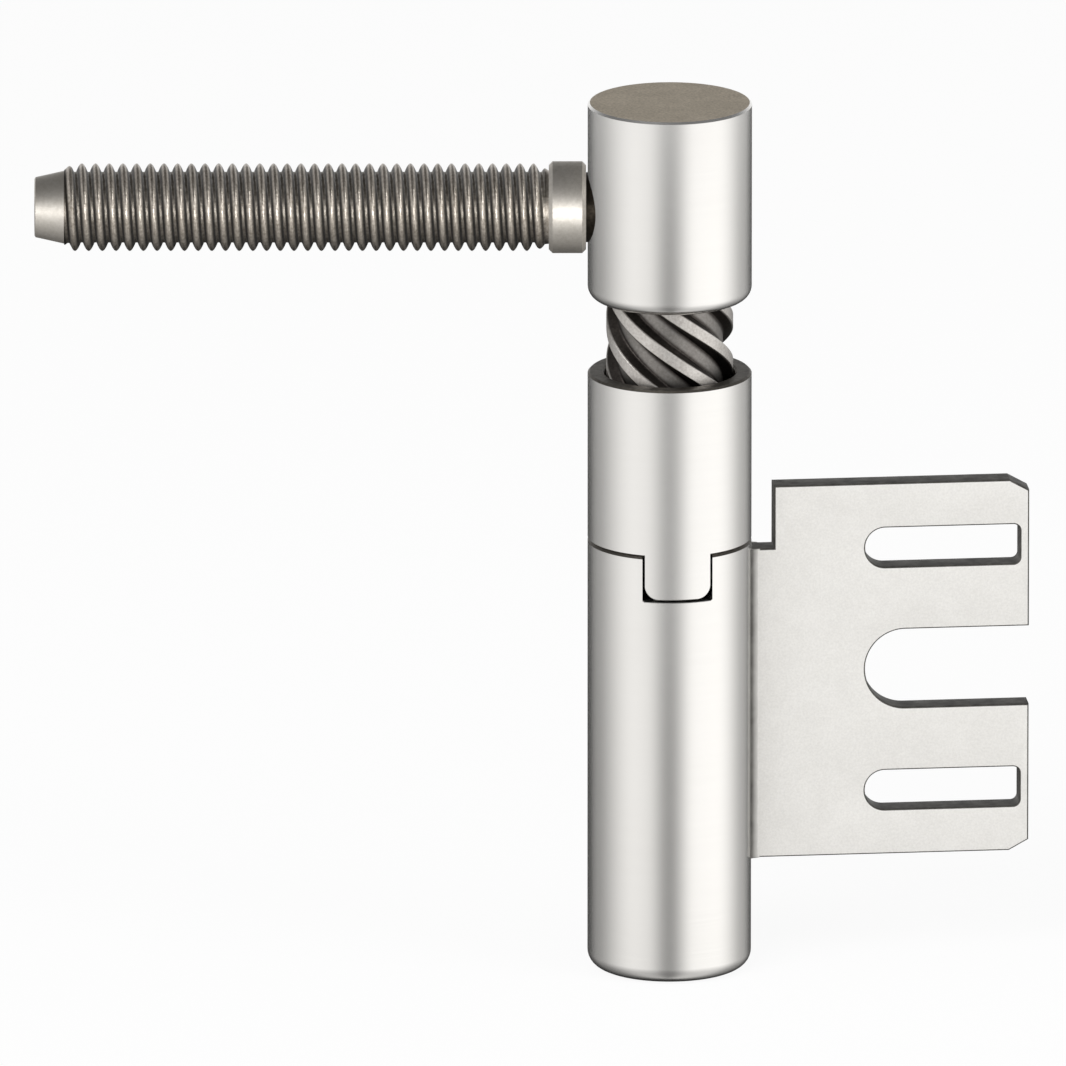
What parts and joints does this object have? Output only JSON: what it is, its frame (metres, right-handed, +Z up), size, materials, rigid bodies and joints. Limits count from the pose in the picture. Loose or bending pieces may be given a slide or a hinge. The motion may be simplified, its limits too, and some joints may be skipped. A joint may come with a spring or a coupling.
{
  "type": "rising drill-in hinge",
  "caption": "Rising door hinge: an upper knuckle with a threaded drill-in stud, a helical spindle that lifts it as it turns, and a lower knuckle with a slotted frame plate.",
  "frame": {"origin": "middle of the frame knuckle's foot, on the hinge axis", "axes": "+Z up the hinge axis, +X along the frame plate away from the barrel, -Y the side that a closed door's stud points to"},
  "size_m": [0.091, 0.0173, 0.0816],
  "materials": {
    "satin_nickel": "satin nickel plating",
    "plate_nickel": "matt plating with dark cut edges",
    "dark_plastic": "moulded",
    "spindle_steel": "dark steel with worn lands",
    "stud_steel": "plain rolled steel"
  },
  "bodies": {
    "frame_part": {"frame_knuckle": "satin_nickel", "frame_plate": "plate_nickel", "riser_sleeve": "satin_nickel", "riser_nut": "dark_plastic"},
    "lift_carrier": {"guide_bush": "dark_plastic"},
    "door_part": {"door_knuckle": "satin_nickel", "door_stud": "stud_steel", "rising_spindle": "spindle_steel", "retaining_ring": "spindle_steel"}
  },
  "joints": [
    {"name": "door_lift", "type": "slide", "parent": "frame_part", "child": "lift_carrier", "axis": [0, 0, 1], "range_m": [-0.00667, 0.00583]},
    {"name": "door_swing", "type": "hinge", "parent": "lift_carrier", "child": "door_part", "pos_m": [0, 0, 0], "axis": [0, 0, -1], "range_deg": [-96, 84]}
  ],
  "couplings": [
    {"joint": "door_lift", "follows": "door_swing", "m_per_rad": 0.0039789}
  ]
}
